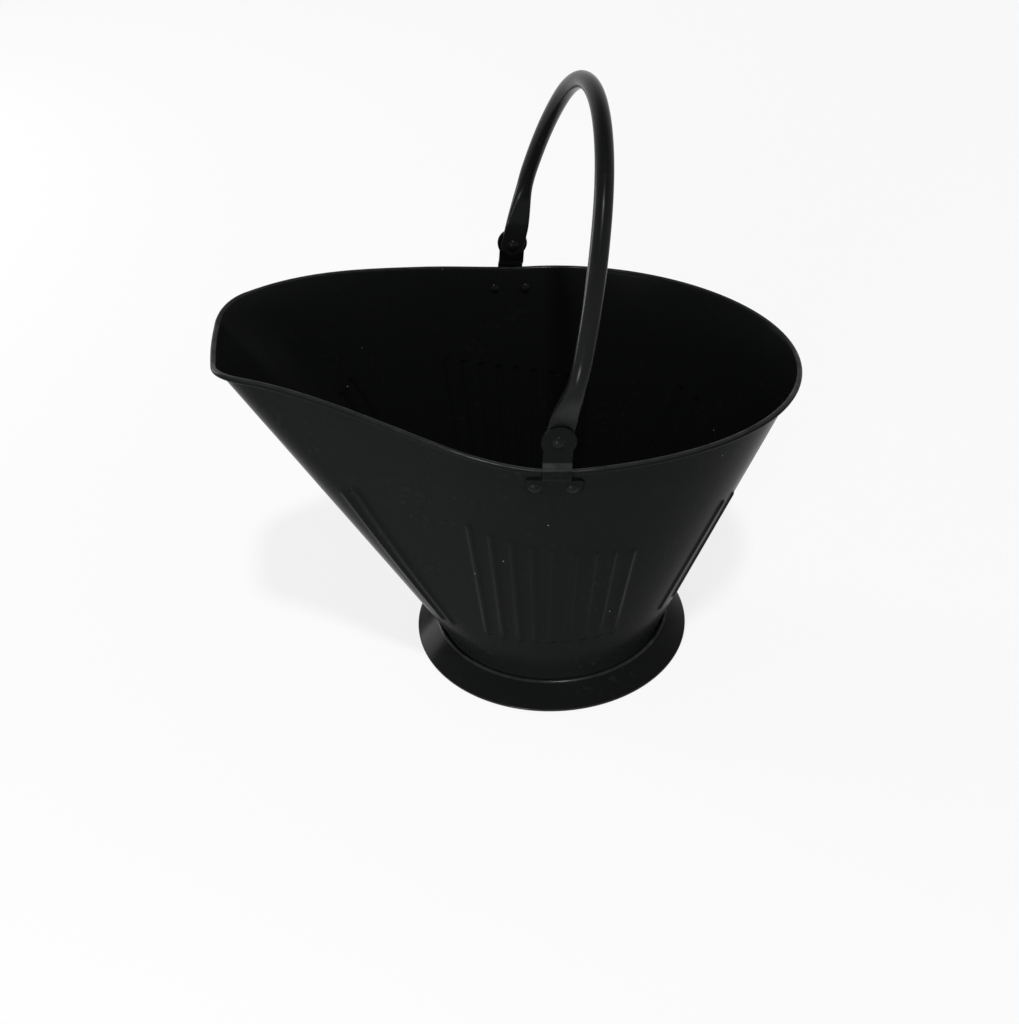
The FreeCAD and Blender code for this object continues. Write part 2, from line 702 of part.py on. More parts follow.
def bail_section(row, flat_z):
    """Section of the bail: round tube that flattens towards its end, which is rounded off."""
    y, z, angle = row
    flat = 1.0 - smooth((z - flat_z) / PADDLE_TAPER)
    width = BAIL_TUBE_R + (PADDLE_HALF - BAIL_TUBE_R) * flat
    depth = BAIL_TUBE_R + (PADDLE_SHEET / 2 - BAIL_TUBE_R) * flat
    if z < 0:
        width = math.sqrt(PADDLE_HALF**2 - z**2)
    power = 2.0 / (2.0 + PADDLE_SQUARENESS * flat)
    section = []
    for side in range(TUBE_SIDES):
        turn = 2 * math.pi * (side + 0.5) / TUBE_SIDES
        across = math.copysign(abs(math.cos(turn)) ** power * width, math.cos(turn))
        out = math.copysign(abs(math.sin(turn)) ** power * depth, math.sin(turn))
        section.append(Vector(across, y + out * math.sin(angle), z + out * math.cos(angle)))
    return section


def bail():
    """Bent half-inch tube with flattened, drilled ends, standing at its lean."""
    rows, flat_z = bail_route()
    right = [bail_section(row, flat_z) for row in rows]
    left = [[Vector(point.x, -point.y, point.z) for point in section] for section in right]
    outside = skin(left[:0:-1] + right)
    round_rows = [row for row in rows if row[1] > flat_z + PADDLE_TAPER]
    share = 1.0 - BAIL_TUBE_WALL / BAIL_TUBE_R

    def bore_section(row, side):
        middle = Vector(0, row[0], row[1])
        ring = [middle + (point - middle) * share for point in bail_section(row, flat_z)]
        return [Vector(point.x, side * point.y, point.z) for point in ring]

    left_bore = [bore_section(row, -1) for row in round_rows[:0:-1]]
    bore = skin(left_bore + [bore_section(row, 1) for row in round_rows])
    span = 4 * MOUTH_HALF_WIDTH
    hole = Part.makeCylinder(PIVOT_R + PIVOT_RUN, span, Vector(0, -span / 2, 0), Vector(0, 1, 0))
    shape = outside.cut(Part.makeCompound([bore, hole]))
    shape.Placement = FreeCAD.Placement(PIVOT, FreeCAD.Rotation(Vector(0, 1, 0), BAIL_LEAN))
    return shape


def save(name, shape):
    shape.exportStep("parts/" + name + ".step")
    print(name, "solids", len(shape.Solids), "valid", shape.isValid(), "volume", round(shape.Volume, 1))


os.makedirs("parts", exist_ok=True)
for piece, shape in (
    ("body_half", body_half()),
    ("rim_wire", rim_wire()),
    ("ear", ear()),
    ("ear_rivets", ear_rivets()),
    ("pivot_rivet", pivot_rivet()),
):
    save(piece + "_right", shape)
    save(piece + "_left", mirrored(shape))
save("floor_pan", floor_pan())
save("foot_ring", foot_ring())
save("bail", bail())
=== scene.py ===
import math

import bmesh
import bpy
from mathutils import Matrix, Vector


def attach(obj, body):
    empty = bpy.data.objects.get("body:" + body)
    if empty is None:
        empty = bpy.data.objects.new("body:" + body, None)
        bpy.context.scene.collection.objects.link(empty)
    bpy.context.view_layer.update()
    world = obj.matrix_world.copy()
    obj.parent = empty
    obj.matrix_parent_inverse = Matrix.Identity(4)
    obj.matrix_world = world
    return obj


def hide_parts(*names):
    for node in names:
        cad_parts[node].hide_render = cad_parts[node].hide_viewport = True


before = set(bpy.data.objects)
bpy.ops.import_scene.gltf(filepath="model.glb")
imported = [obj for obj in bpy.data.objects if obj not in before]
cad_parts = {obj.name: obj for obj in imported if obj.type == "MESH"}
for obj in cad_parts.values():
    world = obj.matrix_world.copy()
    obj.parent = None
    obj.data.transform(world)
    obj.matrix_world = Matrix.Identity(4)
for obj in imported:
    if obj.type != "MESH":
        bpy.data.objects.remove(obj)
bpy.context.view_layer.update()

# Body halves. Two mirrored steel sheets, pressed with stiffening ribs, flared from the round foot
# to the oval mouth and its spout. Their top edges are rolled outward round a wire, and their
# folded side edges meet in a seam at the spout and another at the rear.
MM = 0.001
SHEET = 0.9
BEAD_R = 2.3
CURL_TURN = math.radians(305.0)
WALL_R = 92.5
WALL_FOOT_Z = 21.0
COLLAR_Z = 11.0
SIDE_RIM_Z = 254.7
REAR_RIM_Z = 244.5
REAR_FALL_POWER = 1.6
SPOUT_RIM_Z = 294.8
RISE_START_X = 6.0
RISE_END_X = -208.6
LIP_DIP = 6.4
LIP_DIP_HALF = 22.0
LIP_DIP_FADE = 43.0
REAR_REACH = 190.3
SPOUT_REACH = 240.75
MOUTH_HALF_WIDTH = 145.6
WIDEST_X = -2.7
SHOULDER_R = 205.0
SHOULDER_SWEEP = math.radians(24.0)
FLANK_R = 1570.0
CORNER_R = 40.0
LIP_R = 365.0
EAR_X = -12.3


def smooth(t):
    t = min(max(t, 0.0), 1.0)
    return t * t * (3.0 - 2.0 * t)


def outward(phi):
    return Vector((math.cos(phi), math.sin(phi), 0.0))


def spout_crossing(centre_a, radius_a, centre_b, radius_b):
    """Where two circles cross, on the spout's side."""
    apart = centre_b - centre_a
    reach = (radius_a**2 - radius_b**2 + apart.length**2) / (2.0 * apart.length)
    half = math.sqrt(radius_a**2 - reach**2)
    middle = centre_a + apart * (reach / apart.length)
    side = Vector((-apart.y, apart.x, 0.0)) * (half / apart.length)
    return min(middle + side, middle - side, key=lambda point: point.x)


SIDE = math.pi / 2
SHOULDER_END = SIDE + SHOULDER_SWEEP
SHOULDER_C = Vector((WIDEST_X, MOUTH_HALF_WIDTH - SHOULDER_R, 0.0))
FLANK_C = SHOULDER_C + outward(SHOULDER_END) * (SHOULDER_R - FLANK_R)
LIP_C = Vector((LIP_R - SPOUT_REACH, 0.0, 0.0))
CORNER_C = spout_crossing(FLANK_C, FLANK_R - CORNER_R, LIP_C, LIP_R - CORNER_R)
FLANK_END = math.atan2(CORNER_C.y - FLANK_C.y, CORNER_C.x - FLANK_C.x)
CORNER_END = math.atan2(CORNER_C.y - LIP_C.y, CORNER_C.x - LIP_C.x)


def rim_height(x, y):
    """Height of the rolled edge's centre, by its place in plan."""
    if x > RISE_START_X:
        fall = ((x - RISE_START_X) / (REAR_REACH - RISE_START_X)) ** REAR_FALL_POWER
        return SIDE_RIM_Z - (SIDE_RIM_Z - REAR_RIM_Z) * fall
    rise = smooth((RISE_START_X - x) / (RISE_START_X - RISE_END_X))
    height = SIDE_RIM_Z + (SPOUT_RIM_Z - SIDE_RIM_Z) * rise
    if x < WIDEST_X:
        height -= LIP_DIP * (1.0 - smooth((abs(y) - LIP_DIP_HALF) / LIP_DIP_FADE))
    return height


def mouth_point(phi):
    """Centre of the rolled edge, by the angle of the mouth's outward normal: 0 rear, pi spout."""
    if phi <= SIDE:
        length = REAR_REACH - WIDEST_X
        scale = math.hypot(length * math.cos(phi), MOUTH_HALF_WIDTH * math.sin(phi))
        x = WIDEST_X + length**2 * math.cos(phi) / scale
        plan = Vector((x, MOUTH_HALF_WIDTH**2 * math.sin(phi) / scale, 0.0))
    elif phi <= SHOULDER_END:
        plan = SHOULDER_C + outward(phi) * SHOULDER_R
    elif phi <= FLANK_END:
        plan = FLANK_C + outward(phi) * FLANK_R
    elif phi <= CORNER_END:
        plan = CORNER_C + outward(phi) * CORNER_R
    else:
        plan = LIP_C + outward(phi) * LIP_R
    return Vector((plan.x, plan.y, rim_height(plan.x, plan.y)))


def ruling(phi):
    """Foot and top of the wall's middle surface there, with its normal and its uphill direction."""
    radial = outward(phi)
    foot = radial * WALL_R + Vector((0, 0, WALL_FOOT_Z))
    edge = mouth_point(phi)
    uphill = radial * (edge - foot).dot(radial) + Vector((0, 0, edge.z - foot.z))
    uphill.normalize()
    normal = radial * uphill.z - Vector((0, 0, uphill.dot(radial)))
    return foot, edge - normal * (BEAD_R - SHEET / 2), normal, uphill


def wall_point(phi, z, offset=0.0):
    foot, top, normal, _ = ruling(phi)
    return foot + (top - foot) * ((z - foot.z) / (top.z - foot.z)) + normal * offset


HALVINGS = 32


def solve_angle(low, high, value):
    """The angle at which a value that only rises or only falls passes zero."""
    rising = value(high) > 0
    for _ in range(HALVINGS):
        middle = (low + high) / 2
        if (value(middle) > 0) == rising:
            high = middle
        else:
            low = middle
    return (low + high) / 2


# Where each pressed rib runs, from the rear round to the spout: a way to find its angle at a
# height, and the height of its top. Nine stand under the ear, two beside the rear and two beside
# the spout.
RIB_FOOT_Z = 64.0
RIB_HALF = 3.9
RIB_HEIGHT = 1.5
RIB_CAP = 3.3
SIDE_RIB_FOOT_PITCH = 11.7
SIDE_RIB_TOP_PITCH = 14.7
SIDE_RIB_DROP = 81.3
SIDE_RIB_TILT = 0.17
SIDE_RIB_COUNT = 9
REAR_RIB_TOPS = ((66.0, 168.0), (79.5, 171.0))
REAR_RIB_FOOT_IN = 5.0
SPOUT_RIB_TOPS = ((73.0, 207.0), (66.5, 199.0))
SPOUT_RIB_FOOT_IN = 4.0


def corner_rib(top_y, top_z, foot_in, low, high):
    def angle(z):
        across = top_y - foot_in * (top_z - z) / (top_z - RIB_FOOT_Z)
        return solve_angle(low, high, lambda phi: wall_point(phi, z).y - across)
    return angle, top_z


def side_rib(place):
    foot_x = EAR_X + place * SIDE_RIB_FOOT_PITCH
    top_x = EAR_X + place * SIDE_RIB_TOP_PITCH
    drop = SIDE_RIB_DROP + SIDE_RIB_TILT * (top_x - EAR_X)
    top_z = rim_height(top_x, MOUTH_HALF_WIDTH) - drop

    def angle(z):
        across = foot_x + (top_x - foot_x) * (z - RIB_FOOT_Z) / (top_z - RIB_FOOT_Z)
        return solve_angle(0.0, math.pi, lambda phi: wall_point(phi, z).x - across)
    return angle, top_z


RIBS = [corner_rib(*top, REAR_RIB_FOOT_IN, 0.0, SIDE) for top in REAR_RIB_TOPS]
RIBS += [side_rib(SIDE_RIB_COUNT // 2 - number) for number in range(SIDE_RIB_COUNT)]
RIBS += [corner_rib(*top, SPOUT_RIB_FOOT_IN, SHOULDER_END, math.pi) for top in SPOUT_RIB_TOPS]

# The sheet is laid out as a grid. Its columns follow the ribs and the seams closely and spread out
# between them; its rows are close together where the ribs end and where the edge is rolled. The run
# along the mouth counts each radian of turn as some length, so bends get more columns.
RUN_STEPS = 720
TURN_WORTH = 60.0
mouth_run = [0.0]
for step in range(RUN_STEPS):
    phi_a, phi_b = math.pi * step / RUN_STEPS, math.pi * (step + 1) / RUN_STEPS
    turn_share = TURN_WORTH * (phi_b - phi_a)
    mouth_run.append(mouth_run[-1] + (mouth_point(phi_b) - mouth_point(phi_a)).length + turn_share)


def run_of(phi):
    place = min(max(phi / math.pi, 0.0), 1.0) * RUN_STEPS
    index = min(int(place), RUN_STEPS - 1)
    return mouth_run[index] + (mouth_run[index + 1] - mouth_run[index]) * (place - index)


def phi_of(run):
    low, high = 0, RUN_STEPS
    while high - low > 1:
        middle = (low + high) // 2
        if mouth_run[middle] > run:
            high = middle
        else:
            low = middle
    share = (run - mouth_run[low]) / (mouth_run[high] - mouth_run[low])
    return math.pi * (low + share) / RUN_STEPS


STRIDES = 10
NUDGE = 0.002
MOST_NUDGES = 12.0


def beside(angle, offset):
    """Follows a line on the wall at a distance to its side, walked in small strides."""
    def follow(z):
        phi = angle(z)
        for _ in range(STRIDES if offset else 0):
            ahead = phi + math.copysign(NUDGE, offset)
            run = (wall_point(ahead, z) - wall_point(phi, z)).length
            phi += math.copysign(NUDGE * min(abs(offset) / STRIDES / run, MOST_NUDGES), offset)
        return min(max(phi, 0.0), math.pi)
    return follow


def between(first, second, share):
    """Follows a line that lies at a share of the way from one line to the next."""
    def follow(z):
        run_a, run_b = run_of(first(z)), run_of(second(z))
        return phi_of(run_a + (run_b - run_a) * share)
    return follow


RIB_SHARES = (-1.0, -0.78, -0.56, -0.34, -0.12, 0.12, 0.34, 0.56, 0.78, 1.0)
RIB_OFFSETS = [RIB_HALF * share for share in RIB_SHARES]
SEAM_OFFSETS = [0.0, 1.5, 2.9, 3.3, 3.7, 4.4]
GAP_SPACING = 6.0
GAP_Z = 150.0


def rear_seam(z):
    return 0.0


def spout_seam(z):
    return math.pi


lines = [(rear_seam, RIBS[0][1], offset) for offset in SEAM_OFFSETS]
for angle, top_z in RIBS:
    lines += [(angle, top_z, offset) for offset in RIB_OFFSETS]
lines += [(spout_seam, RIBS[-1][1], -offset) for offset in reversed(SEAM_OFFSETS)]

columns = []
for number, (angle, top_z, offset) in enumerate(lines):
    here = beside(angle, offset)
    if number and lines[number - 1][0] is not angle:
        last_angle, last_top, last_offset = lines[number - 1]
        last = beside(last_angle, last_offset)
        width = run_of(here(GAP_Z)) - run_of(last(GAP_Z))
        count = max(2, round(width / GAP_SPACING))
        for step in range(1, count):
            share = step / count
            columns.append((between(last, here, share), last_top + (top_z - last_top) * share))
    columns.append((here, top_z))

END_ROWS = (-2.2, -1.0, -0.2, 0.6, 1.4, 2.2, 3.0, 4.2, 6.5)
MIDDLE_ROWS = 14
UPPER_ROWS = 18
CURL_ROWS = 16
FOOT_BEND = 0.8
LOWER_ROWS = (WALL_FOOT_Z + FOOT_BEND, 24.0, 25.0, 29.0, 36.0, 44.0, 52.0, 58.0)


def wall_rows(top_z, rim_z):
    rows = list(LOWER_ROWS)
    rows += [RIB_FOOT_Z + step for step in END_ROWS]
    low, high = rows[-1], top_z - END_ROWS[-1]
    rows += [low + (high - low) * step / MIDDLE_ROWS for step in range(1, MIDDLE_ROWS)]
    rows += [top_z - step for step in reversed(END_ROWS)]
    low = rows[-1]
    rows += [low + (rim_z - low) * math.sin(SIDE * step / UPPER_ROWS) for step in range(1, UPPER_ROWS)]
    return rows


RIB_NEAR = 0.35
rib_lines = []
for angle, top_z in RIBS:
    middle_z = 0.5 * (RIB_FOOT_Z + top_z)
    rib_lines.append([(angle(z), z) for z in (RIB_FOOT_Z, middle_z, top_z)])


def pressed_height(point, phi):
    """How far the sheet is pressed out at a point of the wall, where a rib passes."""
    height = 0.0
    for line in rib_lines:
        if abs(phi - line[1][0]) > RIB_NEAR:
            continue
        low, mid, high = (wall_point(*place) for place in line)
        for start, end, cap_a, cap_b in ((low, mid, RIB_CAP, 0.0), (mid, high, 0.0, RIB_CAP)):
            run = end - start
            length = run.length
            run = run / length
            along = min(max((point - start).dot(run), cap_a), length - cap_b)
            distance = (point - start - run * along).length / RIB_HALF
            if distance < 1.0:
                height = max(height, RIB_HEIGHT * (1.0 - distance**2) ** 2)
    return height


SEAM_WIDTH = 3.5
SEAM_RISE = 0.9
SEAM_FOOT_GAP = 4.0
SEAM_TOP_GAP = 7.0
SEAM_SOFT = 0.8


def fold_height(point, rim_z):
    """How far the folded edge stands off the outside of the wall, beside the seams."""
    def past(distance):
        return smooth(distance / SEAM_SOFT + 0.5)
    low = past(point.z - WALL_FOOT_Z - SEAM_FOOT_GAP)
    high = past(rim_z - SEAM_TOP_GAP - point.z)
    return SEAM_RISE * past(SEAM_WIDTH - abs(point.y)) * low * high


COLLAR_ROWS = (COLLAR_Z, 15.0, 19.0, WALL_FOOT_Z - FOOT_BEND)
CURL_GAP = 1.0
LEAST_TURN = 0.0004
column_rows = []
for follow, top_z in columns:
    rim_phi = follow(SIDE_RIM_Z)
    rim_z = mouth_point(rim_phi).z
    heights = wall_rows(top_z, rim_z - CURL_GAP)
    column_rows.append([(follow(z), z) for z in heights] + [(rim_phi, rim_z)])
for first, second in zip(column_rows, column_rows[1:]):
    for row, ((phi_a, _), (phi_b, z)) in enumerate(zip(first, second)):
        second[row] = (max(phi_b, phi_a + LEAST_TURN), z)


def sheet_column(rows, face):
    """One face of the sheet up one column: collar, wall and rolled edge. -1 is the inner face."""
    lift = face * SHEET / 2
    points = [outward(rows[0][0]) * (WALL_R + lift) + Vector((0, 0, z)) for z in COLLAR_ROWS]
    last_phi, rim_z = rows[-1]
    for phi, z in rows[:-1]:
        phi = min(phi, math.pi)
        point = wall_point(phi, z)
        raised = pressed_height(point, phi) + lift
        if face > 0:
            raised += fold_height(point, rim_z)
        points.append(point + ruling(phi)[2] * raised)
    rim_phi = min(last_phi, math.pi)
    _, _, normal, uphill = ruling(rim_phi)
    centre = mouth_point(rim_phi)
    for row in range(CURL_ROWS + 1):
        turn = math.pi - CURL_TURN * row / CURL_ROWS
        spoke = normal * math.cos(turn) + uphill * math.sin(turn)
        points.append(centre + spoke * (BEAD_R - SHEET / 2 - lift))
    return points


SHEET_SHARP = math.radians(38.0)


def show(name, bm, material, body, node, sharp=SHEET_SHARP):
    """Makes a piece of a finished bmesh, smooth but for its sharp edges, and sets it on its body."""
    for face in bm.faces:
        face.smooth = True
    for edge in bm.edges:
        edge.smooth = len(edge.link_faces) == 2 and edge.calc_face_angle() < sharp
    mesh = bpy.data.meshes.new(name)
    bm.to_mesh(mesh)
    bm.free()
    piece = bpy.data.objects.new(name, mesh)
    bpy.context.scene.collection.objects.link(piece)
    mesh.materials.append(material)
    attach(piece, body)
    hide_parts(node)
    return piece


def laid_grid(bm, rows_of_points):
    """A grid of faces with its points at the given places, in millimetres."""
    across, along = len(rows_of_points), len(rows_of_points[0])
    made = bmesh.ops.create_grid(bm, x_segments=across - 1, y_segments=along - 1, size=1.0)
    for vert in made["verts"]:
        column = round((vert.co.x + 1.0) / 2.0 * (across - 1))
        row = round((vert.co.y + 1.0) / 2.0 * (along - 1))
        vert.co = rows_of_points[column][row] * MM


class Tint:
    """A value in a paint's node tree. Sums on it add Math nodes, and node() adds any other node."""

    def __init__(self, tree, socket=None):
        self.tree = tree
        self.socket = socket

    def node(self, kind, settings=None, output=0, **inputs):
        made = self.tree.nodes.new(kind)
        for name, value in (settings or {}).items():
            if name == "stops":
                for stop, (place, shade) in zip(made.color_ramp.elements, value):
                    stop.position = place
                    stop.color = (shade, shade, shade, 1.0)
            else:
                setattr(made, name, value)
        for name, value in inputs.items():
            key = int(name[3:]) if name.startswith("in_") else name.replace("_", " ")
            if isinstance(value, Tint):
                self.tree.links.new(value.socket, made.inputs[key])
            else:
                made.inputs[key].default_value = value
        return Tint(self.tree, made.outputs[output])

    def sum(self, operation, first, second):
        return self.node("ShaderNodeMath", {"operation": operation}, in_0=first, in_1=second)

    def __add__(self, other):
        return self.sum("ADD", self, other)

    def __radd__(self, other):
        return self.sum("ADD", other, self)

    def __sub__(self, other):
        return self.sum("SUBTRACT", self, other)

    def __rsub__(self, other):
        return self.sum("SUBTRACT", other, self)

    def __mul__(self, other):
        return self.sum("MULTIPLY", self, other)

    def __rmul__(self, other):
        return self.sum("MULTIPLY", other, self)


COOL_GREEN = 1.08
COOL_BLUE = 1.05
# Painted highlight on rubbed crests: how far it tints towards steel, how metallic it makes them, and its
# least share in patches.
HIGHLIGHT_RUB_TINT = 0.10
HIGHLIGHT_RUB_SHINE = 0.5
HIGHLIGHT_RUB_LEAST = 0.4
CLOUD_DULLS = 0.10
DUST_DULLS = 0.22
FINE_PEEL = 0.35
CHIP_DEPTH = 0.8
PEEL_DEPTH = 0.0006


def black_paint(name, shade, gloss, peel, grime, lustre):
    """Black baked paint: faint orange peel, cloudy gloss, a little dust, chips, and rubbed crests made
    lighter and metallic, partly a painted highlight.
    """
    material = bpy.data.materials.new(name)
    material.use_nodes = True
    tree = material.node_tree
    shader = tree.nodes["Principled BSDF"]
    paint = Tint(tree)
    place = paint.node("ShaderNodeTexCoord", output="Object")

    def mottle(scale, detail, low, high):
        field = paint.node("ShaderNodeTexNoise", Vector=place, Scale=scale, Detail=detail)
        stops = ((low, 0.0), (high, 1.0))
        return paint.node("ShaderNodeValToRGB", {"stops": stops}, Fac=field)

    cloud = mottle(scale=17.0, detail=3.0, low=0.35, high=0.68)
    specks = mottle(scale=210.0, detail=5.0, low=0.56, high=0.80)
    dust = specks * mottle(scale=26.0, detail=3.0, low=0.45, high=0.72)
    nicks = mottle(scale=240.0, detail=1.0, low=0.80, high=0.81)
    chip = nicks * mottle(scale=31.0, detail=1.0, low=0.62, high=0.64)
    dark = (shade, shade * COOL_GREEN, shade * COOL_BLUE, 1.0)
    pale = (0.030, 0.030, 0.028, 1.0)
    steel = (0.295, 0.30, 0.30, 1.0)
    blend = {"data_type": "RGBA"}
    dusty = paint.node("ShaderNodeMix", blend, 2, in_0=dust * grime, in_6=dark, in_7=pale)
    # Painted highlight: a vertex attribute on rim and bead crests and on the ears' jog lightens the base
    # colour towards steel and makes it metallic. It is partly paint rubbed thin and partly a stand-in for
    # highlights.
    mark = paint.node("ShaderNodeAttribute", {"attribute_name": "rubbed_and_highlit"}, "Fac")
    patchy = mottle(scale=120.0, detail=3.0, low=0.30, high=0.70)
    rubbed_and_highlit = mark * (patchy * (1.0 - HIGHLIGHT_RUB_LEAST) + HIGHLIGHT_RUB_LEAST)
    bare_and_highlit = paint.sum("MAXIMUM", chip, rubbed_and_highlit * HIGHLIGHT_RUB_TINT)
    worn_and_highlit = paint.node("ShaderNodeMix", blend, 2, in_0=bare_and_highlit, in_6=dusty, in_7=steel)
    tree.links.new(worn_and_highlit.socket, shader.inputs["Base Color"])
    tree.links.new((rubbed_and_highlit * HIGHLIGHT_RUB_SHINE).socket, shader.inputs["Metallic"])
    rough = gloss + cloud * CLOUD_DULLS + dust * DUST_DULLS
    tree.links.new(rough.socket, shader.inputs["Roughness"])
    fine = paint.node("ShaderNodeTexNoise", Vector=place, Scale=620.0, Detail=2.0)
    broad = paint.node("ShaderNodeTexNoise", Vector=place, Scale=38.0, Detail=2.0)
    relief = fine * FINE_PEEL + broad - chip * CHIP_DEPTH
    bump = paint.node("ShaderNodeBump", Strength=peel, Distance=PEEL_DEPTH, Height=relief)
    tree.links.new(bump.socket, shader.inputs["Normal"])
    shader.inputs["Specular IOR Level"].default_value = lustre
    return material


def mark_rub_and_highlight(bm, wear_and_highlight):
    """Marks where the paint is rubbed thin and a painted highlight is laid: the given function gives 0 to
    1 for a place.
    """
    mark = bm.verts.layers.float.new("rubbed_and_highlit")
    for vert in bm.verts:
        vert[mark] = wear_and_highlight(vert.co / MM)


RIM_HIGHLIGHT_RUB_FROM = 0.55
RIM_HIGHLIGHT_RUB_FADE = 0.30


# Painted highlight along the crest of the rolled rim, partly paint rubbed thin there.
def rim_wear_and_highlight(spot):
    crest = (spot.z - rim_height(spot.x, abs(spot.y))) / BEAD_R
    return smooth((crest - RIM_HIGHLIGHT_RUB_FROM) / RIM_HIGHLIGHT_RUB_FADE)


body_paint = black_paint("body_paint", shade=0.0066, gloss=0.17, peel=0.16, grime=0.30, lustre=0.011)
faces_of_sheet = [[sheet_column(rows, face) for rows in column_rows] for face in (-1.0, 1.0)]
SIDES = (("right", 1.0), ("left", -1.0))
for name, side in SIDES:
    bm = bmesh.new()
    for points in faces_of_sheet:
        laid_grid(bm, points)
    edges = [edge for edge in bm.edges if len(edge.link_faces) == 1]
    bmesh.ops.bridge_loops(bm, edges=edges)
    bmesh.ops.scale(bm, vec=(1.0, side, 1.0), verts=bm.verts)
    bmesh.ops.recalc_face_normals(bm, faces=bm.faces)
    mark_rub_and_highlight(bm, rim_wear_and_highlight)
    show("body_half_" + name + "_sheet", bm, body_paint, "bucket", "body_half_" + name)

# Rim wires. A soft steel wire lies inside each half's rolled edge and stiffens it. Only its
# underside can be seen, where the roll stops short of the wall.
WIRE_DULL = 0.3
WIRE_STREAK = 0.3
wire_steel = bpy.data.materials.new("wire_steel")
wire_steel.use_nodes = True
drawn = Tint(wire_steel.node_tree)
wire_shader = wire_steel.node_tree.nodes["Principled BSDF"]
wire_place = drawn.node("ShaderNodeTexCoord", output="Object")
streak = drawn.node("ShaderNodeTexNoise", Vector=wire_place, Scale=300.0, Detail=3.0)
wire_steel.node_tree.links.new((streak * WIRE_STREAK + WIRE_DULL).socket, wire_shader.inputs["Roughness"])
wire_shader.inputs["Metallic"].default_value = 1.0
wire_shader.inputs["Base Color"].default_value = (0.20, 0.20, 0.20, 1.0)
for node in ("rim_wire_left", "rim_wire_right"):
    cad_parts[node].data.materials.clear()
    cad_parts[node].data.materials.append(wire_steel)

# Floor pan. A round pressed sheet closes the bottom; its upturned edge is seamed inside the
# collar at the foot of the wall.
FLOOR_Z = 13.0
FIT = 0.05
PAN_BEND_R = 2.0
PAN_UPTURN = 6.5
PAN_RING_R = 45.0
PAN_STEPS = 96


def arc(centre, radius, start, end, steps):
    """Points along an arc in an outline, from one angle in degrees to another."""
    points = []
    for step in range(steps + 1):
        turn = math.radians(start + (end - start) * step / steps)
        points.append((centre[0] + radius * math.cos(turn), centre[1] + radius * math.sin(turn)))
    return points


def spun(outline, steps):
    """Spins an outline of (distance, height) points, in millimetres, about Z."""
    bm = bmesh.new()
    verts = [bm.verts.new((r * MM, 0.0, z * MM)) for r, z in outline]
    edges = [bm.edges.new(pair) for pair in zip(verts, verts[1:])]
    bmesh.ops.spin(
        bm, geom=verts + edges, cent=(0, 0, 0), axis=(0, 0, 1), dvec=(0, 0, 0),
        angle=2 * math.pi, steps=steps, use_merge=True, use_duplicate=False,
    )
    bmesh.ops.remove_doubles(bm, verts=bm.verts, dist=1e-7)
    bmesh.ops.recalc_face_normals(bm, faces=bm.faces)
    return bm


pan_rim = WALL_R - SHEET / 2 - FIT
pan_bend = (pan_rim - SHEET - PAN_BEND_R, FLOOR_Z + PAN_BEND_R)
pan_outline = [(0.0, FLOOR_Z - SHEET), (PAN_RING_R, FLOOR_Z - SHEET)]
pan_outline += arc(pan_bend, PAN_BEND_R + SHEET, -90, 0, steps=6)
pan_outline += [(pan_rim, FLOOR_Z + PAN_UPTURN), (pan_rim - SHEET, FLOOR_Z + PAN_UPTURN)]
pan_outline += arc(pan_bend, PAN_BEND_R, 0, -90, steps=6)
pan_outline += [(PAN_RING_R, FLOOR_Z), (0.0, FLOOR_Z)]
show("floor_pan_sheet", spun(pan_outline, PAN_STEPS), body_paint, "bucket", "floor_pan")

# Foot ring. A spun steel skirt carries the bucket: a rolled ring grips the collar, the sheet
# flares straight out from it, and the outer edge is rounded and folded in underneath.
FOOT_R = 112.5
FOOT_SHEET = 1.0
FOOT_BEAD_R = 2.0
FOOT_BEAD_Z = 15.6
FOOT_EDGE = 3.0
FOOT_FOLD = 1.9
FOOT_HEM = 4.7
BEAD_CREASE = 0.05
BEAD_HIGHLIGHT_RUB_FROM = 0.51
BEAD_HIGHLIGHT_RUB_FADE = 0.3
EDGE_HIGHLIGHT_RUB_WIDTH = 0.5
EDGE_HIGHLIGHT_RUB_FADE = 0.4
EDGE_HIGHLIGHT_RUB = 0.8
FOOT_STEPS = 160
foot_bore = WALL_R + SHEET / 2 + FIT
foot_bead = (foot_bore + FOOT_BEAD_R, FOOT_BEAD_Z)
edge_r = FOOT_EDGE / 2
foot_edge = (FOOT_R - edge_r, edge_r)
flare_run = math.dist(foot_bead, foot_edge)
flare_fall = math.atan2(foot_edge[1] - foot_bead[1], foot_edge[0] - foot_bead[0])
flare_face = flare_fall + math.acos((FOOT_BEAD_R - edge_r) / flare_run)
flare_inside = FOOT_BEAD_R - FOOT_SHEET
flare_under = flare_face - math.acos(flare_inside / FOOT_BEAD_R)
fold_r = FOOT_R - FOOT_FOLD
fold_out = math.cos(flare_face) * (fold_r - foot_bead[0])
fold_z = FOOT_BEAD_Z + (flare_inside - fold_out) / math.sin(flare_face)
face_turn, under_turn = math.degrees(flare_face), math.degrees(flare_under)
foot_outline = arc(foot_bead, FOOT_BEAD_R, 180, face_turn, steps=18)
edge_arc = arc(foot_edge, edge_r, face_turn, -90, steps=14)
flare_ends = zip(foot_outline[-1], edge_arc[0])
foot_outline.append(tuple(top + (low - top) * BEAD_CREASE for top, low in flare_ends))
foot_outline += edge_arc
foot_outline += [(FOOT_R - FOOT_HEM, 0.0), (FOOT_R - FOOT_HEM, FOOT_SHEET)]
foot_outline += [(fold_r, FOOT_SHEET), (fold_r, fold_z)]
foot_outline += arc(foot_bead, FOOT_BEAD_R, under_turn, -90, steps=8)
foot_outline += [(foot_bore, FOOT_BEAD_Z - FOOT_BEAD_R), foot_outline[0]]
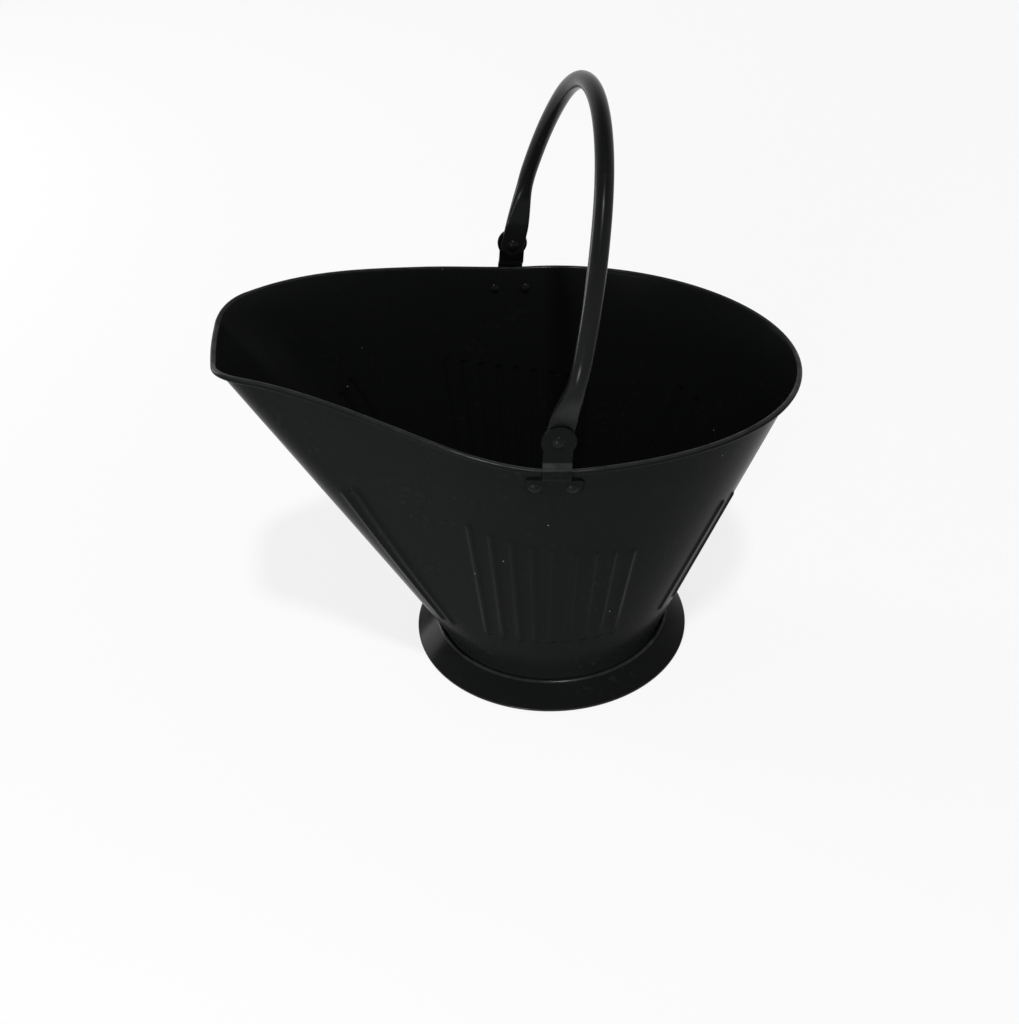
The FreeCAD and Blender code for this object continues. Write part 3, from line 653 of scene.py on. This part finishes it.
foot_paint = black_paint("foot_paint", shade=0.0044, gloss=0.15, peel=0.10, grime=0.30, lustre=0.022)


# Painted highlight on the crest of the foot's bead and on its rounded outer edge, partly paint rubbed
# thin there.
def foot_wear_and_highlight(spot):
    crest = (spot.z - FOOT_BEAD_Z) / FOOT_BEAD_R
    bead = smooth((crest - BEAD_HIGHLIGHT_RUB_FROM) / BEAD_HIGHLIGHT_RUB_FADE)
    edge = smooth((math.hypot(spot.x, spot.y) - FOOT_R + EDGE_HIGHLIGHT_RUB_WIDTH) / EDGE_HIGHLIGHT_RUB_FADE)
    return max(bead, edge * EDGE_HIGHLIGHT_RUB)


foot_mesh = spun(foot_outline, FOOT_STEPS)
mark_rub_and_highlight(foot_mesh, foot_wear_and_highlight)
show("foot_ring_skirt", foot_mesh, foot_paint, "bucket", "foot_ring")

# Ears. Each is cut from 2 mm strip: a wide plate riveted to the wall, a neck that steps out over
# the rolled edge and in again, and a round head for the bail's pivot.
EAR_SHEET = 2.0
RIVET_DROP = 14.6
RIVET_SPACING = 25.6
EAR_MARGIN = 6.6
PLATE_TOP = -6.3
PLATE_CORNER = 3.5
NECK_HALF = 10.0
HEAD_R = 12.0
SWELL_END = -2.5
JOG_START = 3.9
JOG_END = 7.4
JOG_IN = 4.1
JOG_HIGHLIGHT_RUB = 0.3
BEND_SOFT = 0.9
BEAD_CLEAR = 0.3
PIVOT_RISE = 24.6
PLATE_MIDDLE = -13.0
NECK_FILLET = 0.8
CUT_ROUND = 0.35
CUT_SHARP = math.radians(50.0)
SLOPE_STEP = 0.5
ear_phi = solve_angle(0.0, math.pi, lambda phi: mouth_point(phi).x - EAR_X)
ear_base = mouth_point(ear_phi)
rim_before = rim_height(EAR_X - SLOPE_STEP, MOUTH_HALF_WIDTH)
rim_after = rim_height(EAR_X + SLOPE_STEP, MOUTH_HALF_WIDTH)
ear_slope = (rim_before - rim_after) / (2 * SLOPE_STEP)
ear_turn = Matrix.Rotation(math.atan(ear_slope), 3, "Y")
STRAP_Y = ear_base.y + BEAD_R + BEAD_CLEAR
UPRIGHT_Y = STRAP_Y - JOG_IN


def ear_spot(across, out, up):
    """A place measured from the rolled edge at the ear: along the rim, out sideways and up."""
    return Vector((ear_base.x, 0.0, ear_base.z)) + ear_turn @ Vector((across, out, up))


PIVOT = ear_spot(0.0, 0.0, PIVOT_RISE)


def plate_y(across, up):
    """Where the plate's inner face lies against the wall."""
    spot = ear_spot(across, 0.0, up)
    phi = solve_angle(0.0, math.pi, lambda angle: wall_point(angle, spot.z).x - spot.x)
    return wall_point(phi, spot.z, SHEET / 2 + FIT).y


def strap_y(across, up):
    """Inner face of the ear, with its bends softened."""
    if up < PLATE_MIDDLE:
        return plate_y(across, up)
    path = [(height, plate_y(across, height)) for height in (PLATE_MIDDLE, PLATE_TOP)]
    path += [(SWELL_END, STRAP_Y), (JOG_START, STRAP_Y), (JOG_END, UPRIGHT_Y)]

    def straight(v):
        for (v_a, y_a), (v_b, y_b) in zip(path, path[1:]):
            if v <= v_b:
                return y_a + (y_b - y_a) * (v - v_a) / (v_b - v_a)
        return UPRIGHT_Y
    spread = [BEND_SOFT * share for share in (-1.0, -0.5, 0.0, 0.5, 1.0)]
    return sum(straight(up + step) for step in spread) / len(spread)


plate_half = RIVET_SPACING / 2 + EAR_MARGIN
plate_low = -RIVET_DROP - EAR_MARGIN
neck_meets = math.degrees(math.acos(NECK_HALF / HEAD_R))
corner_x = plate_half - PLATE_CORNER
corner_low = plate_low + PLATE_CORNER
corner_high = PLATE_TOP - PLATE_CORNER
ear_outline = arc((corner_x, corner_low), PLATE_CORNER, -90, 0, steps=5)
ear_outline += arc((corner_x, corner_high), PLATE_CORNER, 0, 90, steps=5)
ear_outline += [(NECK_HALF + NECK_FILLET, PLATE_TOP), (NECK_HALF, PLATE_TOP + NECK_FILLET)]
ear_outline += arc((0.0, PIVOT_RISE), HEAD_R, -neck_meets, 180 + neck_meets, steps=40)
ear_outline += [(-NECK_HALF, PLATE_TOP + NECK_FILLET), (-NECK_HALF - NECK_FILLET, PLATE_TOP)]
ear_outline += arc((-corner_x, corner_high), PLATE_CORNER, 90, 180, steps=5)
ear_outline += arc((-corner_x, corner_low), PLATE_CORNER, 180, 270, steps=5)
ear_paint = black_paint("ear_paint", shade=0.0048, gloss=0.18, peel=0.08, grime=0.40, lustre=0.02)
BEND_STEPS = (-1.1, -0.65, -0.2, 0.2, 0.65, 1.1)
BEND_ROWS = [-18.0, PLATE_MIDDLE, -10.0, PIVOT_RISE - 6.0, PIVOT_RISE, PIVOT_RISE + 6.0]
for bend_z in (PLATE_TOP, SWELL_END, JOG_START, JOG_END):
    BEND_ROWS += [bend_z + step for step in BEND_STEPS]
STRIP_COLUMNS = (-16.0, -12.8, -NECK_HALF, -6.0, -3.0, 0.0, 3.0, 6.0, NECK_HALF, 12.8, 16.0)
for name, side in SIDES:
    bm = bmesh.new()
    bm.faces.new([bm.verts.new((s, 0.0, v)) for s, v in ear_outline])
    for up in BEND_ROWS:
        whole = bm.verts[:] + bm.edges[:] + bm.faces[:]
        bmesh.ops.bisect_plane(bm, geom=whole, dist=1e-5, plane_co=(0, 0, up), plane_no=(0, 0, 1))
    for across in STRIP_COLUMNS:
        whole = bm.verts[:] + bm.edges[:] + bm.faces[:]
        bmesh.ops.bisect_plane(bm, geom=whole, dist=1e-5, plane_co=(across, 0, 0), plane_no=(1, 0, 0))
    # Painted highlight along the jog where the ear steps in over the rim, partly paint rubbed thin there.
    mark = bm.verts.layers.float.new("rubbed_and_highlit")
    for vert in bm.verts:
        vert[mark] = 1.0 if JOG_START - JOG_HIGHLIGHT_RUB < vert.co.z < JOG_END + JOG_HIGHLIGHT_RUB else 0.0
        spot = ear_spot(vert.co.x, strap_y(vert.co.x, vert.co.z), vert.co.z)
        vert.co = Vector((spot.x, side * spot.y, spot.z)) * MM
    bm.normal_update()
    if sum(face.normal.y for face in bm.faces) * side > 0:
        bmesh.ops.reverse_faces(bm, faces=bm.faces)
    bm.normal_update()
    bmesh.ops.solidify(bm, geom=bm.faces, thickness=EAR_SHEET * MM)
    ear = show("ear_" + name + "_strip", bm, ear_paint, "bucket", "ear_" + name)
    round_edge = ear.modifiers.new("rounded_edge", "BEVEL")
    round_edge.width = CUT_ROUND * MM
    round_edge.segments = 2
    round_edge.limit_method = "ANGLE"
    round_edge.angle_limit = CUT_SHARP

# Ear rivets. Two steel rivets hold each ear's plate, with a domed head outside and a flatter
# formed tail inside the wall.
EAR_RIVET_R = 2.3
EAR_RIVET_HEAD = (4.5, 2.2)
EAR_RIVET_TAIL = (4.0, 1.6)
RIVET_STEPS = 32


def dome(radius, height):
    ball = (radius**2 + height**2) / (2 * height)
    edge = math.degrees(math.asin((ball - height) / ball))
    return arc((0.0, height - ball), ball, edge, 90, steps=8)


def rivet(radius, head, tail, head_seat, tail_seat):
    """A rivet along Z with a domed head above and a domed tail below, each a radius and a height."""
    outline = [(0.0, tail_seat - tail[1])]
    outline += [(r, tail_seat - h) for r, h in reversed(dome(*tail))][1:]
    outline += [(radius, tail_seat), (radius, head_seat)]
    outline += [(r, head_seat + h) for r, h in dome(*head)]
    outline[-1] = (0.0, head_seat + head[1])
    return spun(outline, RIVET_STEPS)


def turned_to(direction):
    return Vector((0, 0, 1)).rotation_difference(direction).to_matrix()


rivet_paint = black_paint("rivet_paint", shade=0.0060, gloss=0.22, peel=0.10, grime=0.35, lustre=0.04)
head_seat = SHEET / 2 + FIT + EAR_SHEET + FIT
tail_seat = -SHEET / 2 - 2 * FIT
for name, side in SIDES:
    both = bmesh.new()
    for end in (-0.5, 0.5):
        spot = ear_spot(end * RIVET_SPACING, 0.0, -RIVET_DROP)
        phi = solve_angle(0.0, math.pi, lambda angle: wall_point(angle, spot.z).x - spot.x)
        seat, normal = wall_point(phi, spot.z), ruling(phi)[2]
        seat.y *= side
        normal.y *= side
        one = rivet(EAR_RIVET_R, EAR_RIVET_HEAD, EAR_RIVET_TAIL, head_seat, tail_seat)
        bmesh.ops.rotate(one, cent=(0, 0, 0), matrix=turned_to(normal), verts=one.verts)
        bmesh.ops.translate(one, vec=seat * MM, verts=one.verts)
        held = bpy.data.meshes.new("ear_rivet")
        one.to_mesh(held)
        one.free()
        both.from_mesh(held)
        bpy.data.meshes.remove(held)
    show("ear_rivets_" + name + "_pair", both, rivet_paint, "bucket", "ear_rivets_" + name)

# Pivot rivets. One through each ear's head and the bail's flattened end, left loose enough for
# the bail to swing.
PIVOT_R = 3.0
PIVOT_HEAD = (4.65, 2.4)
PADDLE_SHEET = 4.0
SIDE_GAP = 0.3
PADDLE_Y = UPRIGHT_Y - SIDE_GAP - PADDLE_SHEET / 2
head_seat = UPRIGHT_Y + EAR_SHEET + FIT
tail_seat = PADDLE_Y - PADDLE_SHEET / 2 - SIDE_GAP
for name, side in SIDES:
    pivot = rivet(PIVOT_R, PIVOT_HEAD, PIVOT_HEAD, head_seat, tail_seat)
    outwards = turned_to(Vector((0.0, side, 0.0)))
    bmesh.ops.rotate(pivot, cent=(0, 0, 0), matrix=outwards, verts=pivot.verts)
    bmesh.ops.translate(pivot, vec=PIVOT * MM, verts=pivot.verts)
    show("pivot_rivet_" + name + "_dome", pivot, rivet_paint, "bucket", "pivot_rivet_" + name)

# Bail. Half-inch steel tube bent to an arch; its ends are pressed flat, stepped in to lie inside
# the ears, and drilled for the pivot rivets. The rivets' heads hide the holes, so this mesh has
# none, and it shows only the outside of the tube.
TUBE_R = 6.35
BAIL_RISE = 185.7
BAIL_LEAN = math.radians(14.2)
LEG_R = 215.0
KNEE_R = 45.0
HEEL_R = 30.0
CROWN_END = math.radians(46.0)
LEG_END = math.radians(71.0)
KNEE_END = math.radians(108.0)
PADDLE_HALF = 9.3
PADDLE_TAPER = 40.0
PADDLE_SQUARENESS = 3.0
LEG_BULGE = 6.0
TUBE_SIDES = 40
TUBE_SHARP = math.radians(60.0)
TIP_STEPS = 12
TIP_SHORT = 0.4
leg_y = PADDLE_Y + LEG_BULGE
crown_r = (leg_y - LEG_R * (math.sin(LEG_END) - math.sin(CROWN_END))) / math.sin(CROWN_END)
route = [(0.0, BAIL_RISE, 0.0)]


def bend(radius, end, steps):
    """Carries the route of the tube's middle on round a bend, until it heads that far below level."""
    y, z, start = route[-1]
    for step in range(1, steps + 1):
        angle = start + (end - start) * step / steps
        across = radius * (math.sin(angle) - math.sin(start))
        rise = radius * (math.cos(angle) - math.cos(start))
        route.append((y + across, z + rise, angle))


bend(crown_r, CROWN_END, steps=30)
bend(LEG_R, LEG_END, steps=20)
bend(KNEE_R, KNEE_END, steps=20)
y, z, angle = route[-1]
straight = (y - PADDLE_Y - HEEL_R * (1.0 - math.sin(KNEE_END))) / -math.cos(KNEE_END)
for share in (0.25, 0.5, 0.75, 1.0):
    run = straight * share
    route.append((y + run * math.cos(angle), z - run * math.sin(angle), angle))
bend(-HEEL_R, SIDE, steps=10)
flat_z = route[-1][1]
for share in (0.75, 0.5, 0.25, 0.0):
    route.append((PADDLE_Y, flat_z * share, SIDE))
for step in range(1, TIP_STEPS + 1):
    tip_turn = SIDE * step / (TIP_STEPS + TIP_SHORT)
    route.append((PADDLE_Y, -PADDLE_HALF * math.sin(tip_turn), SIDE))


def tube_section(y, z, angle):
    """The tube's outline at a place on its route: round above, pressed flat towards the pivot."""
    flat = 1.0 - smooth((z - flat_z) / PADDLE_TAPER)
    width = TUBE_R + (PADDLE_HALF - TUBE_R) * flat
    depth = TUBE_R + (PADDLE_SHEET / 2 - TUBE_R) * flat
    if z < 0:
        width = math.sqrt(PADDLE_HALF**2 - z**2)
    power = 2.0 / (2.0 + PADDLE_SQUARENESS * flat)
    section = []
    for side in range(TUBE_SIDES + 1):
        turn = 2 * math.pi * (side + 0.5) / TUBE_SIDES
        across = math.copysign(abs(math.cos(turn)) ** power * width, math.cos(turn))
        out = math.copysign(abs(math.sin(turn)) ** power * depth, math.sin(turn))
        section.append(Vector((across, y + out * math.sin(angle), z + out * math.cos(angle))))
    return section


right_leg = [tube_section(*row) for row in route]
left_leg = [[Vector((point.x, -point.y, point.z)) for point in section] for section in right_leg]
bm = bmesh.new()
laid_grid(bm, left_leg[:0:-1] + right_leg)
bmesh.ops.remove_doubles(bm, verts=bm.verts, dist=1e-6)
bmesh.ops.holes_fill(bm, edges=bm.edges, sides=0)
bmesh.ops.recalc_face_normals(bm, faces=bm.faces)
bmesh.ops.rotate(bm, cent=(0, 0, 0), matrix=Matrix.Rotation(BAIL_LEAN, 3, "Y"), verts=bm.verts)
bmesh.ops.translate(bm, vec=PIVOT * MM, verts=bm.verts)
bail_paint = black_paint("bail_paint", shade=0.0062, gloss=0.17, peel=0.06, grime=0.25, lustre=0.06)
show("bail_tube", bm, bail_paint, "bail", "bail", sharp=TUBE_SHARP)

# Studio. A white paper floor and a white surround under a darker ceiling, lit from high in front,
# and low from the front and the rear. Seen directly or in a gloss, floor and horizon are white.
PAPER = 0.95
PAPER_ROUGHNESS = 0.9
FLOOR_HALF = 30.0
SEEN_WHITE = 0.80
SURROUND_LIGHT = 0.50
CEILING = 0.15
WALL_TO_CEILING = ((0.45, 1.0), (0.85, CEILING))


def seen_rays(tree):
    """1 for rays that come from the camera, from a gloss or through glass, and 0 for others."""
    path = Tint(tree)
    kinds = ("Is Camera Ray", "Is Glossy Ray", "Is Transmission Ray")
    rays = [path.node("ShaderNodeLightPath", output=kind) for kind in kinds]
    return path.sum("MINIMUM", rays[0] + rays[1] + rays[2], 1.0)


floor_paper = bpy.data.materials.new("floor_paper")
floor_paper.use_nodes = True
floor_tree = floor_paper.node_tree
paper = Tint(floor_tree)
paper_shader = floor_tree.nodes["Principled BSDF"]
paper_shader.inputs["Base Color"].default_value = (PAPER, PAPER, PAPER, 1.0)
paper_shader.inputs["Roughness"].default_value = PAPER_ROUGHNESS
paper_shader.inputs["Specular IOR Level"].default_value = 0.0
shaded = Tint(floor_tree, paper_shader.outputs["BSDF"])
white = paper.node("ShaderNodeEmission", Strength=1.0)
seen_white = seen_rays(floor_tree) * SEEN_WHITE
sheet_paper = paper.node("ShaderNodeMixShader", in_0=seen_white, in_1=shaded, in_2=white)
floor_tree.links.new(sheet_paper.socket, floor_tree.nodes["Material Output"].inputs["Surface"])
bm = bmesh.new()
bmesh.ops.create_grid(bm, x_segments=1, y_segments=1, size=FLOOR_HALF)
floor_mesh = bpy.data.meshes.new("studio_floor")
bm.to_mesh(floor_mesh)
bm.free()
floor = bpy.data.objects.new("studio_floor", floor_mesh)
bpy.context.scene.collection.objects.link(floor)
floor_mesh.materials.append(floor_paper)

world = bpy.data.worlds.new("studio_surround")
bpy.context.scene.world = world
world.use_nodes = True
surround = world.node_tree.nodes["Background"]
studio = Tint(world.node_tree)
outlook = studio.node("ShaderNodeTexCoord", output="Generated")
height = studio.node("ShaderNodeSeparateXYZ", output="Z", Vector=outlook)
shade_up = studio.node("ShaderNodeValToRGB", {"stops": WALL_TO_CEILING}, Fac=height)
world.node_tree.links.new(shade_up.socket, surround.inputs["Color"])
surround_strength = seen_rays(world.node_tree) * (1.0 - SURROUND_LIGHT) + SURROUND_LIGHT
world.node_tree.links.new(surround_strength.socket, surround.inputs["Strength"])


def soft_lamp(name, kind, place, aim, width, power):
    """A sun's width is the angle that it spans, and a disk lamp's is its diameter."""
    lamp = bpy.data.lights.new(name, kind)
    lamp.energy = power
    if kind == "SUN":
        lamp.angle = width
    else:
        lamp.shape = "DISK"
        lamp.size = width
    stand = bpy.data.objects.new(name, lamp)
    bpy.context.scene.collection.objects.link(stand)
    stand.location = place
    stand.rotation_euler = (Vector(aim) - Vector(place)).to_track_quat("-Z", "Y").to_euler()


HIGH_PLACE, HIGH_AIM = (0.07, -1.27, 3.35), (0.0, 0.0, 0.2)
FRONT_PLACE, FRONT_AIM = (-0.75, -1.35, 0.28), (0.0, 0.0, 0.25)
REAR_PLACE, REAR_AIM = (-1.45, 1.0, 0.36), (0.0, 0.0, 0.15)
soft_lamp("high_lamp", "SUN", HIGH_PLACE, HIGH_AIM, width=math.radians(5.0), power=1.5)
soft_lamp("front_lamp", "AREA", FRONT_PLACE, FRONT_AIM, width=0.5, power=15.0)
soft_lamp("rear_lamp", "AREA", REAR_PLACE, REAR_AIM, width=0.7, power=10.0)

# Camera. It stands where the photograph was taken from and looks down with a slight roll. Its lens
# is shifted, because the picture's middle is not the point that the camera was aimed at.
CAMERA_PLACE = (-0.1130, -0.9637, 0.8462)
AZIMUTH = math.radians(-7.406)
ELEVATION = math.radians(36.318)
ROLL = math.radians(-0.539)
PHOTO_WIDTH = 1019.0
PHOTO_HEIGHT = 1024.0
FOCAL_PIXELS = 1514.19
AIM_PIXEL_X = 564.88
AIM_PIXEL_Y = 491.35
away = Vector((math.sin(AZIMUTH), -math.cos(AZIMUTH), 0.0))
back = away * math.cos(ELEVATION) + Vector((0, 0, math.sin(ELEVATION)))
level = (-back).cross(Vector((0, 0, 1))).normalized()
above = level.cross(-back)
right = level * math.cos(ROLL) + above * math.sin(ROLL)
up = above * math.cos(ROLL) - level * math.sin(ROLL)
camera = bpy.data.cameras.new("photo_camera")
camera.sensor_fit = "VERTICAL"
camera.sensor_height = 36.0
camera.lens = FOCAL_PIXELS / PHOTO_HEIGHT * camera.sensor_height
camera.shift_x = (PHOTO_WIDTH / 2 - AIM_PIXEL_X) / PHOTO_HEIGHT
camera.shift_y = (AIM_PIXEL_Y - PHOTO_HEIGHT / 2) / PHOTO_HEIGHT
tripod = bpy.data.objects.new("photo_camera", camera)
bpy.context.scene.collection.objects.link(tripod)
turn = Matrix((right, up, back)).transposed().to_4x4()
tripod.matrix_world = Matrix.Translation(CAMERA_PLACE) @ turn
bpy.context.scene.camera = tripod
bpy.context.scene.view_settings.view_transform = "Standard"
